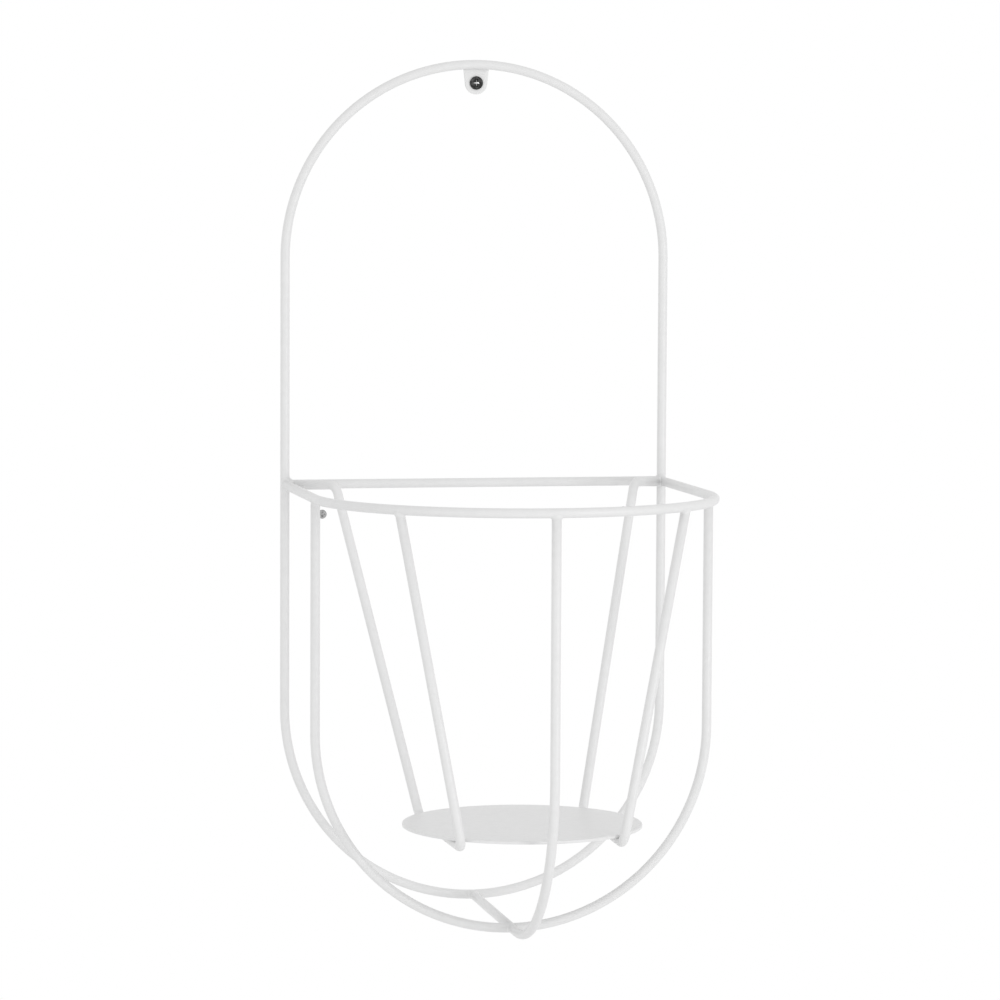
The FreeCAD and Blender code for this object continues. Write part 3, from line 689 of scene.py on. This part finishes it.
def screw_grid(head, rise, neck, shank, reach, pitch, neck_long):
    """Closed grid over (station, angle) about the screw's axis. The crown is a cap of a
    sphere less the drive recess, a cross that is softened by a smooth step; the shank's
    radius is a core plus a rounded tooth of the phase station / pitch - angle / turn.
    Depth is measured from the underside of the head into the wall."""
    a = np.linspace(0, 2 * np.pi, 96, endpoint=False)
    edge = rise / 3
    sagitta = rise - edge
    crown = (head ** 2 + sagitta ** 2) / (2 * sagitta)
    r = np.concatenate([[0], np.linspace(0.02, 1, 46)]) * head
    grid_r = r[:, None] + 0 * a
    cap = np.sqrt(crown ** 2 - grid_r ** 2) - crown
    u, v = np.abs(grid_r * np.cos(a)), np.abs(grid_r * np.sin(a))
    arm, half = 0.55 * head, 0.12 * head
    cross = np.minimum(np.maximum(u - arm, v - half), np.maximum(v - arm, u - half))
    cut = np.clip(0.5 - cross / (0.12 * head), 0, 1)
    cut = cut * cut * (3 - 2 * cut)
    depth = -rise - cap + cut * 0.45 * rise
    soft = 0.06 * head
    t = np.linspace(0, math.pi / 2, 5)[:, None]
    stations = [depth, soft * (np.sin(t) - 1) + 0 * a]
    radii = [grid_r, head + soft * (np.cos(t) - 1) + 0 * a]
    if neck_long:
        stations.append(np.array([[0.0], [neck_long]]) + 0 * a)
        radii.append(np.full((2, 96), neck))
    z = np.linspace(neck_long, reach, int((reach - neck_long) / pitch * 10))[:, None]
    taper = np.clip((reach - z) / (2 * shank), 0, 1)
    phase = z / pitch - a / (2 * np.pi)
    tooth = np.clip((2 * np.abs(phase % 1 - 0.5) - 0.55) / 0.45, 0, 1)
    tooth = tooth * np.clip((z - neck_long) / pitch, 0, 1)
    stations.append(z + 0 * a)
    radii.append(shank * (0.76 + 0.24 * tooth) * taper)
    along, radius = np.concatenate(stations), np.concatenate(radii)
    radius[0], radius[-1] = 0, 0
    return np.stack([radius * np.cos(a), along, radius * np.sin(a)], -1)


class PLANTER_OT_top_screw(bpy.types.Operator):
    """Screw of the hanging tab"""

    bl_idname = "planter.top_screw"
    bl_label = "Top screw"

    def execute(self, context):
        s, colours = settings()
        size = dict(TOP_SCREW, reach=TOP_SCREW["reach"] + s.tab_thick)
        grid = screw_grid(neck_long=s.tab_thick, **size) - Y * s.tab_thick
        steel = screw_steel("screw_steel_dark", colours.screw, colours.screw_worn)
        # The drive cross gets a painted highlight in its base colour.
        paint_recess_highlight(steel, colours.recess)
        add_piece("top_screw_steel", [shell(grid)], "top_screw", steel)
        return {"FINISHED"}


class PLANTER_OT_lower_screws(bpy.types.Operator):
    """Pair of small screws below the back bar"""

    bl_idname = "planter.lower_screws"
    bl_label = "Lower screws"

    def execute(self, context):
        s, colours = settings()
        grid = screw_grid(neck_long=0, **LOW_SCREW)
        level = Z * (s.rim_level - s.low_drop)
        shells = [shell(grid + level + X * side * s.low_x) for side in (-1, 1)]
        steel = screw_steel("screw_steel_bright", colours.low_screw, colours.low_screw_worn)
        add_piece("lower_screws_steel", shells, "lower_screws", steel)
        return {"FINISHED"}


class PLANTER_OT_welds(bpy.types.Operator):
    """Weld beads at every joint of the rods"""

    bl_idname = "planter.welds"
    bl_label = "Weld beads"

    def execute(self, context):
        s, colours = settings()
        coat = powder_coat(colours)
        y, rod = centre_y(s), s.rod / 2
        bottom = s.rim_level - s.drop - s.half

        def beads(*joints):
            shells = []
            for joint in joints:
                at, branch, main, leg, end, fill = joint
                grid = saddle_surface(at, branch, main, rod, leg, s.weld_side, end, fill)
                shells.append(shell(grid, True))
            return shells

        # The bead at the bar's right end is smaller and leaves a notch in front.
        bar_beads = {-1: (s.corner_weld, rod, 1), 1: (s.weld, rod, 0.35)}
        corners, hoops, legs = [], [], []
        for side in (-1, 1):
            post = X * side * s.half + Y * y + Z * s.rim_level
            stub, elbow = cradle_corners(s, side)[:2]
            heading = unit(elbow - stub)
            on_rim = stub - heading * (s.half - s.stub_x) / abs(heading[0])
            corners += [
                (post, -X * side, Z, *bar_beads[side]),
                (post, -Y, Z, s.corner_weld, rod, 1),
                (on_rim, heading, Y, s.stub_weld, np.linalg.norm(stub - on_rim), 1),
            ]
            shoulder = X * side * s.half + Y * (y - s.reach) + Z * s.rim_level
            hoops.append((shoulder, -Z, Y, s.weld, rod, 1))
            top = leg_top(s, side)
            foot, leg_end = cradle_corners(s, side)[3:]
            radial = top - Y * (y - s.reach) - Z * s.rim_level
            trim = np.linalg.norm(leg_end - top)
            legs.append((top, foot - top, np.cross(radial, Z), s.weld, trim, 1))
        front = Y * (y - s.reach - s.half) + Z * s.rim_level
        crossing = Y * (y - s.reach) + Z * bottom
        base = Y * y + Z * bottom
        groups = (
            ("back_corner_welds", corners),
            ("hoop_welds", hoops),
            ("cradle_leg_welds", legs),
            ("rib_top_weld", [(front, -Z, X, s.weld, rod, 1)]),
            ("bottom_welds", [(crossing, -Y, X, s.weld, rod, 1),
                              (crossing, Y, X, s.weld, rod, 1),
                              (base, -Y, X, s.weld, rod, 1)]),
        )
        for node, joints in groups:
            add_piece(node + "_bead", beads(*joints), node, coat)
        return {"FINISHED"}


# ---------------------------------------------------------------- stage


def light_path_mix(tree, shown, lit):
    """White to the camera, to reflections and through glass; the light to the rest."""
    path = tree.nodes.new("ShaderNodeLightPath")
    first = add_node(tree, "ShaderNodeMath", [("operation", "MAXIMUM")])
    second = add_node(tree, "ShaderNodeMath", [("operation", "MAXIMUM")])
    tree.links.new(path.outputs["Is Camera Ray"], first.inputs[0])
    tree.links.new(path.outputs["Is Glossy Ray"], first.inputs[1])
    tree.links.new(first.outputs["Value"], second.inputs[0])
    tree.links.new(path.outputs["Is Transmission Ray"], second.inputs[1])
    mix = tree.nodes.new("ShaderNodeMixShader")
    tree.links.new(second.outputs["Value"], mix.inputs["Fac"])
    tree.links.new(lit, mix.inputs[1])
    tree.links.new(shown, mix.inputs[2])
    return mix.outputs["Shader"]


def stand(scene, name, data, place, side, back):
    """An object for a lamp or camera that looks against back, with side to its right."""
    holder = bpy.data.objects.new(name, data)
    turn = np.stack([side, np.cross(back, side), back], 1)
    matrix = Matrix(turn.tolist()).to_4x4()
    matrix.translation = place
    holder.matrix_world = matrix
    scene.collection.objects.link(holder)
    return holder


class PLANTER_OT_stage(bpy.types.Operator):
    """Floor, soft light, white surroundings and the camera"""

    bl_idname = "planter.stage"
    bl_label = "Stage"

    def execute(self, context):
        scene = context.scene
        _, colours = settings()
        scene.view_settings.view_transform = "Standard"
        world = bpy.data.worlds.new("planter_world")
        world.use_nodes = True
        tree = world.node_tree
        lit = tree.nodes["Background"]
        lit.inputs["Color"].default_value = (1, 1, 1, 1)
        lit.inputs["Strength"].default_value = WORLD_LIGHT
        shown = add_node(tree, "ShaderNodeBackground", Color=(1, 1, 1, 1), Strength=1.0)
        surface = light_path_mix(tree, shown.outputs["Background"], lit.outputs["Background"])
        tree.links.new(surface, tree.nodes["World Output"].inputs["Surface"])
        scene.world = world

        material, tree, shader = new_material("floor_pale")
        shader.inputs["Base Color"].default_value = (*colours.floor, 1)
        shader.inputs["Roughness"].default_value = 0.9
        glow = add_node(tree, "ShaderNodeEmission", Color=(1, 1, 1, 1), Strength=1.0)
        soft = tree.nodes.new("ShaderNodeMixShader")
        place = tree.nodes.new("ShaderNodeTexCoord")
        away = add_node(tree, "ShaderNodeVectorMath", [("operation", "LENGTH")])
        tree.links.new(place.outputs["Object"], away.inputs[0])
        fade = add_node(tree, "ShaderNodeMapRange", [("interpolation_type", "SMOOTHSTEP")])
        fade.inputs["From Min"].default_value = FLOOR_NEAR
        fade.inputs["From Max"].default_value = FLOOR_FAR
        fade.inputs["To Min"].default_value = FLOOR_GLOW
        tree.links.new(away.outputs["Value"], fade.inputs["Value"])
        tree.links.new(fade.outputs["Result"], soft.inputs["Fac"])
        tree.links.new(shader.outputs["BSDF"], soft.inputs[1])
        tree.links.new(glow.outputs["Emission"], soft.inputs[2])
        surface = light_path_mix(tree, soft.outputs["Shader"], shader.outputs["BSDF"])
        tree.links.new(surface, tree.nodes["Material Output"].inputs["Surface"])
        mesh = bpy.data.meshes.new("floor")
        signs = ((-1, -1), (1, -1), (1, 1), (-1, 1))
        corners = [(x * FLOOR_HALF, y * FLOOR_HALF, FLOOR_LEVEL) for x, y in signs]
        mesh.from_pydata(corners, [], [(0, 1, 2, 3)])
        mesh.materials.append(material)
        floor = bpy.data.objects.new("floor", mesh)
        scene.collection.objects.link(floor)

        for name, place, size, power in LAMPS:
            lamp = bpy.data.lights.new(name, "AREA")
            lamp.size = size
            lamp.energy = power
            back = unit(np.array(place) - np.array(LAMP_AIM))
            stand(scene, name, lamp, place, unit(np.cross(Z, back)), back)

        camera = bpy.data.cameras.new("camera")
        camera.sensor_width = SENSOR
        camera.lens = CAMERA_LENS
        camera.clip_start, camera.clip_end = 0.1, 200
        back = unit(-np.array(CAMERA_FORWARD))
        side = np.array(CAMERA_RIGHT)
        side = unit(side - back * (side @ back))
        scene.camera = stand(scene, "camera", camera, CAMERA_AT, side, back)
        return {"FINISHED"}


class PLANTER_PT_panel(bpy.types.Panel):
    """Sizes, colours and the pieces of the planter"""

    bl_idname = "PLANTER_PT_panel"
    bl_label = "Wall planter"
    bl_space_type = "VIEW_3D"
    bl_region_type = "UI"
    bl_category = "Planter"

    def draw(self, context):
        for group in (context.scene.planter_sizes, context.scene.planter_colours):
            for name in group.__annotations__:
                self.layout.prop(group, name)
        for operator in OPERATORS:
            self.layout.operator(operator.bl_idname)


OPERATORS = (
    PLANTER_OT_wall_frame, PLANTER_OT_back_bar, PLANTER_OT_rim_hoop,
    PLANTER_OT_front_hoop, PLANTER_OT_front_rib, PLANTER_OT_bottom_stay,
    PLANTER_OT_cradle_wires, PLANTER_OT_pot_plate, PLANTER_OT_hanging_tab,
    PLANTER_OT_top_screw, PLANTER_OT_lower_screws, PLANTER_OT_welds, PLANTER_OT_stage,
)
CLASSES = (PlanterSizes, PlanterColours, *OPERATORS, PLANTER_PT_panel)


def register():
    for cls in CLASSES:
        bpy.utils.register_class(cls)
    bpy.types.Scene.planter_sizes = PointerProperty(type=PlanterSizes)
    bpy.types.Scene.planter_colours = PointerProperty(type=PlanterColours)


def unregister():
    del bpy.types.Scene.planter_colours
    del bpy.types.Scene.planter_sizes
    for cls in reversed(CLASSES):
        bpy.utils.unregister_class(cls)


def main():
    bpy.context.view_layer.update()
    register()
    for operator in OPERATORS:
        group, name = operator.bl_idname.split(".")
        getattr(getattr(bpy.ops, group), name)()
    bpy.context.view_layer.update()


if __name__ == "__main__":
    main()
